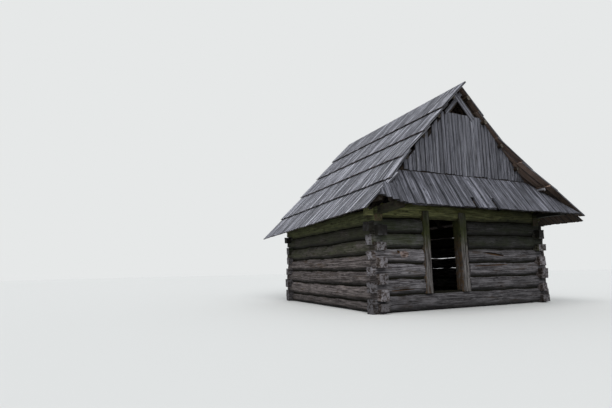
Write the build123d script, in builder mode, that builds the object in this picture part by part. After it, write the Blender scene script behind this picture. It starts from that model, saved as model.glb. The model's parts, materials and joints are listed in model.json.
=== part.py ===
"""Mountain herdsman's log cabin: notched log walls, an open doorway and a boarded half-hipped roof.

Millimetres. +X runs along the entrance wall, +Y towards the back, +Z up from the ground.
The origin is under the middle of the roof's outline, at ground level.
"""

from build123d import *
import math
import os

os.makedirs("parts", exist_ok=True)

# Walls
wall_width = 4400  # outer face to outer face, along the entrance wall
wall_length = 4060  # outer face to outer face, front to back
log_thickness = 180
course_height = 280  # one log and the joint above it
full_courses = 5  # logs between sill and top plate, and the same on the side walls
chink = 8  # open joint between two logs of one wall
log_flat = 96  # width of a log's hewn bearing faces
sill_height = 318
sill_flat = 140
ground_log_height = 200  # the side walls start on a thinner log
plate_flat = 150
front_plate_height = 280
side_plate_height = 300
seat_gap = 0.3  # clearance at every seat, lap and butt
neck_clearance = 2  # slack of a notch along its own log
head_reach = 100  # a log end past the crossing
head_height = 215
head_chamfer = 14

# Doorway
door_left_edge = -948
door_width = 776
post_width = 150
post_proud = 20  # the posts stand in front of the wall face
post_lap_height = 150  # the posts lap up over the plate
post_lap_depth = 60

# Roof frame
roof_pitch = 47.5
rafter_heel = 115  # the rafters' backs above the side plates, over the wall's outer face
rafter_width = 80
rafter_depth = 120
rafter_pairs = 5
rafter_tail = 3450  # down the slope from the apex
rafter_tail_depth = 50  # the tails are thinned outside the wall
lath_space = 80  # from the rafters' backs to the boards
first_lath_at = 290  # laths down the slope, from the apex under the boards
lath_spacing = 641
gable_laths = 4  # laths that run out through the front gable
laths = 5  # laths besides the one at the eave
eave_lath_at = 3390
eave_lath_reach = 330  # the eave laths' ends past the front wall face
back_verge = 350  # boards past the back wall face
left_lath_reach = 120  # lath ends past the front wall face
right_lath_reach = 196
lath_proud = 16  # lath ends past the back verge

# Roof boards, in courses counted down from the ridge
board_depth = 36
course_pitch = 720
first_course_start = -55  # where the top course's plane meets the laths
left_ridge_end = -50  # the left boards jut past the ridge
right_ridge_end = 3
courses = 5
left_edges_front = (850, 1600, 2310, 3000, 3750)  # lower edge of each course at the front
right_edges_front = (835, 1620, 2390, 3010, 3725)
edges_back = (850, 1625, 2400, 3300, 4030)  # and at the back
left_verge = ((295, 265), (245, 230), (230, 150), (200, 400), (430, 310))
right_verge = ((165, 165), (165, 190), (190, 400), (330, 610), (570, 820))

# Gables and their smoke holes
gable_board_depth = 25
gable_gap = 5.7  # from a wall face to the rafters beside it
front_gable_rise = 611  # from the front plate up to the gable boards
back_gable_lap = 86  # the back gable boards lap down over the plate
smoke_hole_drop = 481  # from the rafters' apex down to the smoke hole's sill
smoke_board_left = 85
smoke_board_right = 190
tie_beam_height = 128
tie_beam_rise = 3  # above the foot of the front gable boards

# Skirt roof under the front gable
skirt_board_depth = 40
skirt_reach = 800  # the skirt's eave from the front wall face
skirt_hip_step = 500  # down the slope, where the left end starts to pass the slope beside it
skirt_left_width = 2450  # from the middle to the left end
skirt_left_rise = 284  # up the slope, from the eave to the widest place of the left end
skirt_left_gap = 158  # the left end of the eave stands this much higher up the slope
skirt_left_slant = 250  # and slants down to the full eave over this width
skirt_lean = 0.27  # the boards run this far to the left for each length down the slope
broken_boards = ((-482, 88, 265), (53, 80, 265))  # middle, width and height of a missing end
eave_pole_radius = 50
eave_pole_half_length = 2270
ledger_height = 115
ledger_depth = 76
ledger_end_gap = 58  # from a hip rafter's head to the ledger
hip_radius = 40
hip_foot_clearance = 12
tongue_height = 110  # the side plates run on forwards as tongues under the eave pole
tongue_reach = 670

# Places worked out from those sizes
roof_front = max(skirt_reach, right_verge[-1][1])
front = (roof_front - back_verge - lath_proud - wall_length) / 2  # y of the front wall's outer face
back = front + wall_length
half_width = wall_width / 2
half_log = log_thickness / 2
half_course = course_height / 2
door_right_edge = door_left_edge + door_width
plate_foot = sill_height + full_courses * course_height
plate_top = plate_foot + front_plate_height
side_plate_foot = ground_log_height + full_courses * course_height
side_plate_top = side_plate_foot + side_plate_height
pitch = math.radians(roof_pitch)
run, rise, steep = math.cos(pitch), math.sin(pitch), math.tan(pitch)
rafter_apex = side_plate_top + rafter_heel + half_width * steep
rafter_under_apex = rafter_apex - rafter_depth / run
lath_apex = rafter_apex + lath_space / run  # where the planes under the roof boards meet
course_tilt = math.atan((board_depth + seat_gap) / course_pitch)
front_rafter_face = front - gable_gap - rafter_width
back_rafter_face = back + gable_gap + rafter_width
front_gable_face = front_rafter_face - seat_gap - gable_board_depth
front_gable_foot = plate_top + front_gable_rise
back_gable_foot = plate_top - back_gable_lap
smoke_hole_sill = rafter_apex - smoke_hole_drop

front_wall = Plane(origin=(0, front + half_log, 0), x_dir=(0, 1, 0), z_dir=(1, 0, 0))
back_wall = Plane(origin=(0, back - half_log, 0), x_dir=(0, 1, 0), z_dir=(1, 0, 0))
left_wall = Plane(origin=(half_log - half_width, 0, 0), x_dir=(-1, 0, 0), z_dir=(0, 1, 0))
right_wall = Plane(origin=(half_width - half_log, 0, 0), x_dir=(-1, 0, 0), z_dir=(0, 1, 0))


def save(part, name):
    part.label = name
    export_step(part, f"parts/{name}.step")


# Heights of the laps at a corner, counted up from the ground log: half the shared height each
corner_laps = [-seat_gap / 2, ground_log_height / 2]
for lap in range(2 * full_courses + 1):
    corner_laps.append((ground_log_height + sill_height) / 2 + lap * half_course)
corner_laps.append(side_plate_top)
corner_laps.append(plate_top + seat_gap / 2)
sill_position = 1
side_plate_position = 2 + 2 * full_courses


def lath_place(at):
    """Middle and radius of a lath that lies on the rafters and touches its course of boards."""
    course = min(int((at - first_course_start) / course_pitch), courses - 1)
    past_start = at - first_course_start - course * course_pitch
    room = lath_space - seat_gap
    radius = (past_start * math.sin(course_tilt) + room * math.cos(course_tilt) - seat_gap) / (
        1 + math.cos(course_tilt)
    )
    below = room - radius
    return at * run - below * rise, lath_apex - at * rise - below * run, radius


def section_of_log(flat, bottom, top):
    """A hewn log's section: two flat bearing faces and two bellied sides."""
    middle = (bottom + top) / 2
    with BuildLine() as outline:
        Line((-flat / 2, bottom), (flat / 2, bottom))
        ThreePointArc((flat / 2, bottom), (half_log, middle), (flat / 2, top))
        Line((flat / 2, top), (-flat / 2, top))
        ThreePointArc((-flat / 2, top), (-half_log, middle), (-flat / 2, bottom))
    make_face(outline.edges())


def wall_log(wall, start, end, bottom, top, flat, position, reaches, head=None):
    """A log from start to end along its wall. Where its reach isn't 0 it crosses a corner there:
    it is notched to a neck, and its end runs on as a squared head."""
    neck_bottom = corner_laps[position] + seat_gap / 2
    neck_top = corner_laps[position + 1] - seat_gap / 2
    middle = (bottom + top) / 2
    head_bottom, head_top = head or (middle - head_height / 2, middle + head_height / 2)
    with BuildPart() as log:
        with BuildSketch(wall.offset(start)):
            section_of_log(flat, bottom, top)
        extrude(amount=end - start)
        for reach, corner, outward in ((reaches[0], start, -1), (reaches[1], end, 1)):
            if reach:
                shoulder = corner + outward * neck_clearance
                inner = corner - outward * (log_thickness + neck_clearance)
                with BuildSketch(wall.offset(corner)):
                    section_of_log(flat, bottom, top)
                extrude(amount=outward * neck_clearance)
                for cut_bottom, cut_top in ((bottom - 1, neck_bottom), (neck_top, top + 1)):
                    with BuildSketch(wall.offset(inner)):
                        with Locations((0, (cut_bottom + cut_top) / 2)):
                            Rectangle(2 * log_thickness, cut_top - cut_bottom)
                    extrude(amount=shoulder - inner, mode=Mode.SUBTRACT)
                with BuildSketch(wall.offset(shoulder)):
                    with Locations((0, (head_bottom + head_top) / 2)):
                        Rectangle(log_thickness, head_top - head_bottom)
                extrude(amount=outward * (reach - neck_clearance))
                ends = faces().sort_by(Axis(wall.origin, wall.z_dir))
                chamfer((ends[-1] if outward > 0 else ends[0]).edges(), length=head_chamfer)
    return log


both_heads = (head_reach, head_reach)

# Sills, and the thinner logs on the ground under the side walls
for name, wall in (("front_sill", front_wall), ("back_sill", back_wall)):
    sill = wall_log(
        wall,
        -half_width,
        half_width,
        0,
        sill_height - chink,
        sill_flat,
        sill_position,
        both_heads,
    )
    save(sill.part, name)

ground_log_top = ground_log_height - chink
for name, wall in (("left_ground_log", left_wall), ("right_ground_log", right_wall)):
    ground_log = wall_log(
        wall,
        front,
        back,
        0,
        ground_log_top,
        sill_flat,
        0,
        both_heads,
        head=(0, ground_log_top),
    )
    save(ground_log.part, name)

# Full logs: the front ones are cut by the doorway, the others run from corner to corner
left_butt = door_left_edge - post_width - seat_gap
right_butt = door_right_edge + post_width + seat_gap
for course in range(full_courses):
    bottom = sill_height + course * course_height
    top = bottom + course_height - chink
    for name, wall, start, end, reaches in (
        ("front_left_log", front_wall, -half_width, left_butt, (head_reach, 0)),
        ("front_right_log", front_wall, right_butt, half_width, (0, head_reach)),
        ("back_log", back_wall, -half_width, half_width, both_heads),
    ):
        position = sill_position + 2 + 2 * course
        log = wall_log(wall, start, end, bottom, top, log_flat, position, reaches)
        save(log.part, f"{name}_{course + 1}")

for course in range(full_courses):
    bottom = ground_log_height + course * course_height
    top = bottom + course_height - chink
    for name, wall in (("left_log", left_wall), ("right_log", right_wall)):
        log = wall_log(
            wall, front, back, bottom, top, log_flat, 2 + 2 * course, both_heads
        )
        save(log.part, f"{name}_{course + 1}")

# Side plates: their front heads run on as tongues that carry the skirt's eave pole
for name, wall in (("left_plate", left_wall), ("right_plate", right_wall)):
    side_plate = wall_log(
        wall,
        front,
        back,
        side_plate_foot,
        side_plate_top,
        plate_flat,
        side_plate_position,
        (tongue_reach, head_reach),
        head=(side_plate_top - tongue_height, side_plate_top),
    )
    save(side_plate.part, name)

# Door posts stand on the sill, close the log ends and lap up over the front plate
posts = {
    "left_door_post": door_left_edge - post_width / 2,
    "right_door_post": door_right_edge + post_width / 2,
}
post_foot = sill_height - chink + seat_gap
post_back = front + log_thickness
post_face = front - post_proud
for name, x in posts.items():
    with BuildPart() as post:
        with BuildSketch(Plane.XY.offset(post_foot)):
            with Locations((x, (post_face + post_back) / 2)):
                Rectangle(post_width, post_back - post_face)
        extrude(amount=plate_foot - seat_gap - post_foot)
        with BuildSketch(Plane.XY.offset(plate_foot - seat_gap)):
            with Locations((x, post_face + post_lap_depth / 2)):
                Rectangle(post_width, post_lap_depth)
        extrude(amount=post_lap_height)
    save(post.part, name)

# Front and back plates lock the corners from above, their heads under the eave laths
_, eave_lath_z, eave_lath_radius = lath_place(eave_lath_at)
plate_head_top = min(plate_top, eave_lath_z - eave_lath_radius) - seat_gap
for name, wall in (("front_plate", front_wall), ("back_plate", back_wall)):
    plate = wall_log(
        wall,
        -half_width,
        half_width,
        plate_foot,
        plate_top,
        plate_flat,
        side_plate_position + 1,
        both_heads,
        head=(plate_head_top - head_height, plate_head_top),
    )
    with BuildPart() as housed_plate:
        add(plate.part)
        if name == "front_plate":
            for x in posts.values():
                with BuildSketch(Plane.XY.offset(plate_foot)):
                    with Locations((x, post_face)):
                        Rectangle(
                            post_width + 2 * seat_gap, 2 * (post_lap_depth + seat_gap)
                        )
                extrude(amount=post_lap_height, mode=Mode.SUBTRACT)
    save(housed_plate.part, name)


def up_to(apex, height):
    """Half the width between the two slopes, at that height, under a plane with that apex."""
    return (apex - height) / steep


# Rafters: plumb cut at the ridge, a bird's mouth over the side plate, a thinned tail
rafter_spacing = (back_rafter_face - front_rafter_face - rafter_width) / (rafter_pairs - 1)
tail_x, tail_z = rafter_tail * run, rafter_apex - rafter_tail * rise
heel_x = half_width + neck_clearance
seat_z = side_plate_top + seat_gap
with BuildPart() as right_rafters:
    for pair in range(rafter_pairs):
        rear_face = front_rafter_face + rafter_width + pair * rafter_spacing
        side_view = Plane(origin=(0, rear_face, 0), x_dir=(1, 0, 0), z_dir=(0, -1, 0))
        with BuildSketch(side_view):
            with BuildLine():
                Polyline(
                    (seat_gap / 2, rafter_apex - seat_gap / 2 * steep),
                    (tail_x, tail_z),
                    (tail_x - rafter_tail_depth * rise, tail_z - rafter_tail_depth * run),
                    (heel_x, rafter_apex - rafter_tail_depth / run - heel_x * steep),
                    (heel_x, seat_z),
                    (up_to(rafter_under_apex, seat_z), seat_z),
                    (seat_gap / 2, rafter_under_apex - seat_gap / 2 * steep),
                    close=True,
                )
            make_face()
        extrude(amount=rafter_width)
save(right_rafters.part, "right_rafters")
with BuildPart() as left_rafters:
    mirror(right_rafters.part, about=Plane.YZ)
save(left_rafters.part, "left_rafters")


# Laths: round poles along the slope; the upper ones run out through the front gable
lath_places = [lath_place(first_lath_at + number * lath_spacing) for number in range(laths)]
lath_places.append(lath_place(eave_lath_at))
lath_back_end = back + back_verge + lath_proud
for name, side, reach in (
    ("left_laths", -1, left_lath_reach),
    ("right_laths", 1, right_lath_reach),
):
    with BuildPart() as lath_poles:
        for number, (x, z, radius) in enumerate(lath_places):
            front_end = front_rafter_face
            if number < gable_laths:
                front_end = front - reach
            if number == laths:
                front_end = front - eave_lath_reach
            rear_view = Plane(origin=(0, lath_back_end, 0), x_dir=(1, 0, 0), z_dir=(0, -1, 0))
            with BuildSketch(rear_view):
                with Locations((side * x, z)):
                    Circle(radius)
            extrude(amount=lath_back_end - front_end)
    save(lath_poles.part, name)

# Tie beams between the outer rafters, behind the feet of the gable boards
with BuildPart() as tie_beams:
    for foot, face in (
        (front_gable_foot + tie_beam_rise, front_rafter_face + rafter_width),
        (back_gable_foot, back_rafter_face),
    ):
        top = foot + tie_beam_height
        lower = up_to(rafter_under_apex, foot) - seat_gap
        upper = up_to(rafter_under_apex, top) - seat_gap
        with BuildSketch(Plane(origin=(0, face, 0), x_dir=(1, 0, 0), z_dir=(0, -1, 0))):
            with BuildLine():
                Polyline((-lower, foot), (lower, foot), (upper, top), (-upper, top), close=True)
            make_face()
        extrude(amount=rafter_width)
save(tie_beams.part, "tie_beams")

# Gable boards fit under the roof boards, cut round the laths, with a level top at the smoke hole.
# Two raking boards of unlike width on the rafters frame the hole.
raking_foot = smoke_hole_sill + seat_gap
inner_left_apex = rafter_apex - smoke_board_left / run
inner_right_apex = rafter_apex - smoke_board_right / run
joint_x = (smoke_board_left - smoke_board_right) / (2 * rise)
left_joint = joint_x - seat_gap / 2
right_joint = joint_x + seat_gap / 2
for name, foot, inner_face, passing in (
    ("front_gable_boards", front_gable_foot, front_rafter_face - seat_gap, gable_laths),
    (
        "back_gable_boards",
        back_gable_foot,
        back_rafter_face + seat_gap + gable_board_depth,
        laths + 1,
    ),
):
    view = Plane(origin=(0, inner_face, 0), x_dir=(1, 0, 0), z_dir=(0, -1, 0))
    lower = up_to(lath_apex, foot) - seat_gap
    upper = up_to(lath_apex, smoke_hole_sill) - seat_gap
    with BuildPart() as gable:
        with BuildSketch(view):
            with BuildLine():
                Polyline(
                    (-lower, foot),
                    (lower, foot),
                    (upper, smoke_hole_sill),
                    (-upper, smoke_hole_sill),
                    close=True,
                )
            make_face()
            for side in (-1, 1):
                for x, z, radius in lath_places[:passing]:
                    with Locations((side * x, z)):
                        Circle(radius + seat_gap, mode=Mode.SUBTRACT)
                        Rectangle(
                            2 * (radius + seat_gap),
                            lath_space,
                            rotation=-side * roof_pitch,
                            align=(Align.CENTER, Align.MIN),
                            mode=Mode.SUBTRACT,
                        )
        extrude(amount=gable_board_depth)
        with BuildSketch(view):
            with BuildLine():
                Polyline(
                    (left_joint, rafter_apex + left_joint * steep),
                    (-up_to(rafter_apex, raking_foot), raking_foot),
                    (-up_to(inner_left_apex, raking_foot), raking_foot),
                    (left_joint, inner_left_apex + left_joint * steep),
                    close=True,
                )
            make_face()
            with BuildLine():
                Polyline(
                    (right_joint, rafter_apex + right_joint * steep),
                    (0, rafter_apex),
                    (up_to(rafter_apex, raking_foot), raking_foot),
                    (up_to(inner_right_apex, raking_foot), raking_foot),
                    (right_joint, inner_right_apex - right_joint * steep),
                    close=True,
                )
            make_face()
        extrude(amount=gable_board_depth)
    save(gable.part, name)


def lay_courses(verge, ridge_end, edges_front):
    """Board courses of the right-hand slope, each lapped over the one below it."""
    lean = pitch - course_tilt
    with BuildPart() as slope:
        for course in range(courses):
            start = first_course_start + course * course_pitch
            plane = Plane(
                origin=(start * run, 0, lath_apex - start * rise),
                x_dir=(math.cos(lean), 0, -math.sin(lean)),
                z_dir=(math.sin(lean), 0, math.cos(lean)),
            )
            upper = ridge_end - start if course == 0 else 0
            verge_upper, verge_lower = verge[course]
            with BuildSketch(plane):
                with BuildLine():
                    Polyline(
                        (upper, front - verge_upper),
                        (edges_front[course] - start, front - verge_lower),
                        (edges_back[course] - start, back + back_verge),
                        (upper, back + back_verge),
                        close=True,
                    )
                make_face()
            extrude(amount=board_depth)
    return slope


right_roof_boards = lay_courses(right_verge, right_ridge_end, right_edges_front)
save(right_roof_boards.part, "right_roof_boards")

left_courses = lay_courses(left_verge, left_ridge_end, left_edges_front)
with BuildPart() as left_roof_boards:
    mirror(left_courses.part, about=Plane.YZ)
save(left_roof_boards.part, "left_roof_boards")


def skirt_under(y):
    """Height of the plane under the skirt's boards."""
    return front_gable_foot + (y - front_gable_face) * steep - skirt_board_depth / run


# Eave pole of the skirt, on the plates' tongues, and hip rafters from it up to the front rafters
pole_z = side_plate_top + seat_gap + eave_pole_radius
eave_pole_y = (pole_z + (eave_pole_radius + seat_gap) / run - skirt_under(0)) / steep
hip_sum = (lath_apex - skirt_under(0)) / steep


def hip_point(y):
    """A point of the right hip rafter's middle line, level with that y."""
    return Vector(hip_sum - y, y, skirt_under(y) - (hip_radius + seat_gap) / run)


hip_head = hip_point(front_rafter_face - seat_gap - hip_radius)
hip_foot = hip_point(eave_pole_y + eave_pole_radius + hip_radius + hip_foot_clearance)
with BuildPart() as hip_rafters:
    with BuildSketch(Plane(origin=hip_head, z_dir=hip_foot - hip_head)):
        Circle(hip_radius)
    extrude(amount=(hip_foot - hip_head).length)
    mirror(about=Plane.YZ)
save(hip_rafters.part, "hip_rafters")

# The ledger on the front rafters, and the eave pole
ledger_half_length = hip_head.X - hip_radius - ledger_end_gap
with BuildPart() as skirt_poles:
    ledger_face = front_rafter_face - seat_gap - ledger_depth
    with BuildSketch(Plane.XY.offset(skirt_under(ledger_face) - seat_gap)):
        with Locations((0, ledger_face + ledger_depth / 2)):
            Rectangle(2 * ledger_half_length, ledger_depth)
    extrude(amount=-ledger_height)
    pole_end = Plane(
        origin=(-eave_pole_half_length, eave_pole_y, pole_z), x_dir=(0, 1, 0), z_dir=(1, 0, 0)
    )
    with BuildSketch(pole_end):
        Circle(eave_pole_radius)
    extrude(amount=2 * eave_pole_half_length)
save(skirt_poles.part, "skirt_poles")

# Skirt boards, under the slope on the right. At the left end they run on past the slope beside
# them, and two of them have lost their lower ends.
skirt_top_y = front_rafter_face - seat_gap
skirt_plane = Plane(
    origin=(0, skirt_top_y, skirt_under(skirt_top_y)),
    x_dir=(1, 0, 0),
    z_dir=(0, -rise, run),
)
skirt_length = (skirt_top_y - (front - skirt_reach)) / run - skirt_board_depth * steep
slope_apex = lath_apex + 2 * board_depth / run


def skirt_half(apex, down):
    """Half the skirt's width that far down its slope, up to a slope with that apex."""
    outer = skirt_under(skirt_top_y) + skirt_board_depth * run - down * rise
    return up_to(apex, outer) - seat_gap


eave_line = [
    (-skirt_left_width, skirt_left_rise - skirt_length),
    (-skirt_left_width, skirt_left_gap - skirt_length),
    (skirt_left_slant - skirt_left_width, -skirt_length),
]
for middle, width, height in broken_boards:
    top_middle = middle + skirt_lean * height
    eave_line += [
        (middle - width / 2, -skirt_length),
        (top_middle - width / 2, height - skirt_length),
        (top_middle + width / 2, height - skirt_length),
        (middle + width / 2, -skirt_length),
    ]
with BuildPart() as skirt_boards:
    with BuildSketch(skirt_plane):
        with BuildLine():
            Polyline(
                (skirt_half(lath_apex, 0), 0),
                (-skirt_half(lath_apex, 0), 0),
                (-skirt_half(lath_apex, skirt_hip_step), -skirt_hip_step),
                (-skirt_half(slope_apex, skirt_hip_step), -skirt_hip_step),
                *eave_line,
                (skirt_half(lath_apex, skirt_length), -skirt_length),
                close=True,
            )
        make_face()
    extrude(amount=skirt_board_depth)
save(skirt_boards.part, "skirt_boards")
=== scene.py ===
"""Looks of the log cabin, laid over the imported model. Metres, in the model's own frame."""

import json
import math
import random

import bmesh
import bpy
from mathutils import Matrix, Vector

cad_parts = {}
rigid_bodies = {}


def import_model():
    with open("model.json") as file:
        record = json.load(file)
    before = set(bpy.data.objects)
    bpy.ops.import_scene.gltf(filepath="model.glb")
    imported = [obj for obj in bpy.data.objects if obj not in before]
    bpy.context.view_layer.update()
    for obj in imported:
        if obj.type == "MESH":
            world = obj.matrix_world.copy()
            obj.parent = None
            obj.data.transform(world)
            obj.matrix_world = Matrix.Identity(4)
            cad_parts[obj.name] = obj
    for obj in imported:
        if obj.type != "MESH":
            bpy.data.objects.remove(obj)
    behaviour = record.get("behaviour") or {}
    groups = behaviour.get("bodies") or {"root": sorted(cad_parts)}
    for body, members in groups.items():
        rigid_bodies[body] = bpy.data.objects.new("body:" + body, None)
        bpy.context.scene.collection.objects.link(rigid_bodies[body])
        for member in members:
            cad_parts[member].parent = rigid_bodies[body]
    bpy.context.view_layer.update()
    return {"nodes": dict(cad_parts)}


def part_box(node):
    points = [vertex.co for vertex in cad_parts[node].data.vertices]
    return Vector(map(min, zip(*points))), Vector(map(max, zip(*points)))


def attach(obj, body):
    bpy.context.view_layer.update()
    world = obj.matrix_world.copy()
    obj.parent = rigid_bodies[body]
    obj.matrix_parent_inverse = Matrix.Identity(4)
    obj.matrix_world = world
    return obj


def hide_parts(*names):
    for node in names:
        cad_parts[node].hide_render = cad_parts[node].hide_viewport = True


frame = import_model()
bpy.ops.object.select_all(action="DESELECT")

# Camera
# It stands where the photograph was taken, front left of the doorway and a little above the sill,
# and looks up at the gable. Place, turn and lens were solved from the walls and roof lines.
camera_place = Vector((-6.399, -7.966, 0.801))
camera_yaw = math.radians(24.837)
camera_pitch = math.radians(9.025)
camera_roll = math.radians(1.039)
forward = Vector(
    (
        math.sin(camera_yaw) * math.cos(camera_pitch),
        math.cos(camera_yaw) * math.cos(camera_pitch),
        math.sin(camera_pitch),
    )
)
level_right = Vector((math.cos(camera_yaw), -math.sin(camera_yaw), 0))
level_up = level_right.cross(forward)
right = math.cos(camera_roll) * level_right - math.sin(camera_roll) * level_up
up = math.sin(camera_roll) * level_right + math.cos(camera_roll) * level_up
picture_width = 612  # pixels of the photograph
focal_length = 410.384  # in the same pixels
sensor_width = 36
bpy.ops.object.camera_add()
camera = bpy.context.object
camera.data.sensor_width = sensor_width
camera.data.lens = sensor_width * focal_length / picture_width
camera_turn = Matrix((right, up, -forward)).transposed().to_4x4()
camera.matrix_world = Matrix.Translation(camera_place) @ camera_turn
bpy.context.scene.camera = camera
bpy.context.scene.view_settings.view_transform = "Standard"

# Floor, backdrop and light
# A pale studio floor and backdrop, seen by the camera as pale. Other rays see them dull, so that
# the walls stay in shade under the eaves. The sky is brighter overhead, with two soft lamps.
def linear(code):
    """An sRGB hex colour as linear red, green, blue and full alpha."""
    parts = [int(code[place : place + 2], 16) / 255 for place in (1, 3, 5)]
    return [p / 12.92 if p <= 0.04045 else ((p + 0.055) / 1.055) ** 2.4 for p in parts] + [1]


def add_node(tree, kind, settings, links=()):
    """Adds a node, gives it its settings and links its inputs to (node, output)."""
    node = tree.nodes.new(kind)
    for name, value in settings.items():
        if isinstance(name, int) or name in node.inputs:
            node.inputs[name].default_value = value
        else:
            setattr(node, name, value)
    for name, (source, output) in dict(links).items():
        tree.links.new(source.outputs[output], node.inputs[name])
    return node


def plain_view(tree):
    """A mask that is 1 for rays from the camera, and for those that gloss or glass sends on."""
    rays = add_node(tree, "ShaderNodeLightPath", {})
    sent_on = add_node(
        tree,
        "ShaderNodeMath",
        {"operation": "MAXIMUM"},
        {0: (rays, "Is Glossy Ray"), 1: (rays, "Is Transmission Ray")},
    )
    return add_node(
        tree,
        "ShaderNodeMath",
        {"operation": "MAXIMUM"},
        {0: (rays, "Is Camera Ray"), 1: (sent_on, 0)},
    )


floor_drop = 0.002  # a little below the level that the sills stand on
bpy.ops.mesh.primitive_circle_add(
    vertices=96, radius=60, fill_type="NGON", location=(0, 0, -floor_drop)
)
floor = bpy.context.object
floor.name = "floor"
floor_finish = bpy.data.materials.new("matt pale floor")
floor_finish.use_nodes = True
floor_tree = floor_finish.node_tree
floor_colour = add_node(
    floor_tree,
    "ShaderNodeMix",
    {"data_type": "RGBA", 6: linear("#92928e"), 7: linear("#d6d7d5")},
    {0: (plain_view(floor_tree), 0)},
)
floor_shader = floor_tree.nodes["Principled BSDF"]
floor_shader.inputs["Roughness"].default_value = 0.9
floor_tree.links.new(floor_colour.outputs[2], floor_shader.inputs["Base Color"])
floor.data.materials.append(floor_finish)

world = bpy.data.worlds.new("soft sky")
bpy.context.scene.world = world
world.use_nodes = True
sky_tree = world.node_tree
sky_tree.nodes.clear()
sky_way = add_node(sky_tree, "ShaderNodeTexCoord", {})
sky_height = add_node(sky_tree, "ShaderNodeSeparateXYZ", {}, {0: (sky_way, "Generated")})
sky_share = add_node(
    sky_tree, "ShaderNodeMapRange", {1: 0, 2: 0.8, 3: 0, 4: 1}, {0: (sky_height, "Z")}
)
sky_dome = add_node(
    sky_tree,
    "ShaderNodeMix",
    {"data_type": "RGBA", 6: (0.3, 0.31, 0.33, 1), 7: (0.62, 0.64, 0.67, 1)},
    {0: (sky_share, 0)},
)
sky_colour = add_node(
    sky_tree,
    "ShaderNodeMix",
    {"data_type": "RGBA", 7: linear("#e6e8e8")},
    {0: (plain_view(sky_tree), 0), 6: (sky_dome, 2)},
)
sky = add_node(sky_tree, "ShaderNodeBackground", {}, {"Color": (sky_colour, 2)})
add_node(sky_tree, "ShaderNodeOutputWorld", {}, {"Surface": (sky, "Background")})

# Each lamp's direction, softness in degrees and strength
for way, softness, strength in (((-7, -4, 13), 45, 1.15), ((-3, -12, 9), 32, 1.3)):
    bpy.ops.object.light_add(type="SUN", location=way)
    lamp = bpy.context.object
    lamp.data.angle = math.radians(softness)
    lamp.data.energy = strength
    lamp.rotation_euler = Vector(way).to_track_quat("Z", "Y").to_euler()

# Wall logs
# Spruce trunks hewn flat on two sides and left bellied on the others. Where a log crosses the next
# wall it is notched to a neck, so the corner locks by its own weight, and its squared end stands
# out past the crossing as a head. Grey from weather, olive with algae up under the eaves.
log_thickness = 0.18
neck_share = 0.96  # of a log's thickness, across its neck
neck_slack = 0.004  # a neck is this much longer than the log it crosses is thick
shoulder_drop = 0.001  # over which a log's full section draws in to its neck
head_reach = 0.1
head_height = 0.195
head_wander = 0.015  # up or down
head_trim = (-0.008, 0.03)  # hewn off its bottom, and off its top
head_shares = (0.88, 1.08)  # of a log's thickness, across it
head_spread = (-0.045, 0.02)  # of its reach
head_slants = (("Z", 0.18), ("Y", 0.1))  # most that the axe left its end out of square
log_wander = 0.006  # in or out
log_belly = 0.55  # how much narrower a log is at its bearing faces
belly_rows = 8  # rows of faces up a log's side
station = 0.09  # between the rings of points along a log
# The heads' painted shade under the eaves comes on between these heights
eave_shade_start, eave_shade_full = 1.33, 1.42  # heights between which the heads blacken under the eaves
smooth_angle = math.radians(38)
near = 1e-4  # points closer than this to a plane lie in it
wall_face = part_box("front_left_log_1")[0][1]
wall_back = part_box("back_log_1")[1][1]
wall_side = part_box("front_left_log_1")[0][0] + head_reach
wall_middle = (wall_back + wall_face) / 2
half_wall = (wall_back - wall_face) / 2
board_length, board_width = 0.8, 0.17  # of the board that all roof and gable boards copy


def pick(kind, wanted):
    """Selects the vertices, edges or faces of the mesh in edit mode that pass the test."""
    mesh = bpy.context.edit_object.data
    shape = bmesh.from_edit_mesh(mesh)
    bpy.ops.mesh.select_mode(type=kind)
    bpy.ops.mesh.select_all(action="DESELECT")
    for part in {"VERT": shape.verts, "EDGE": shape.edges, "FACE": shape.faces}[kind]:
        if wanted(part):
            part.select_set(True)
    bmesh.update_edit_mesh(mesh)


def runs(edge, axis):
    """How far an edge runs along an axis: 0, 1 or 2 for X, Y or Z."""
    return abs(edge.verts[0].co[axis] - edge.verts[1].co[axis])


def start_block(name, lowest, highest):
    """Adds a block between two corners and leaves it in edit mode."""
    bpy.ops.object.select_all(action="DESELECT")
    bpy.ops.mesh.primitive_cube_add(size=1)
    piece = bpy.context.object
    piece.name = name
    bpy.ops.object.mode_set(mode="EDIT")
    size = Vector(highest) - Vector(lowest)
    bpy.ops.transform.resize(value=size, center_override=(0, 0, 0))
    bpy.ops.transform.translate(value=(Vector(highest) + Vector(lowest)) / 2)
    return piece


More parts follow.
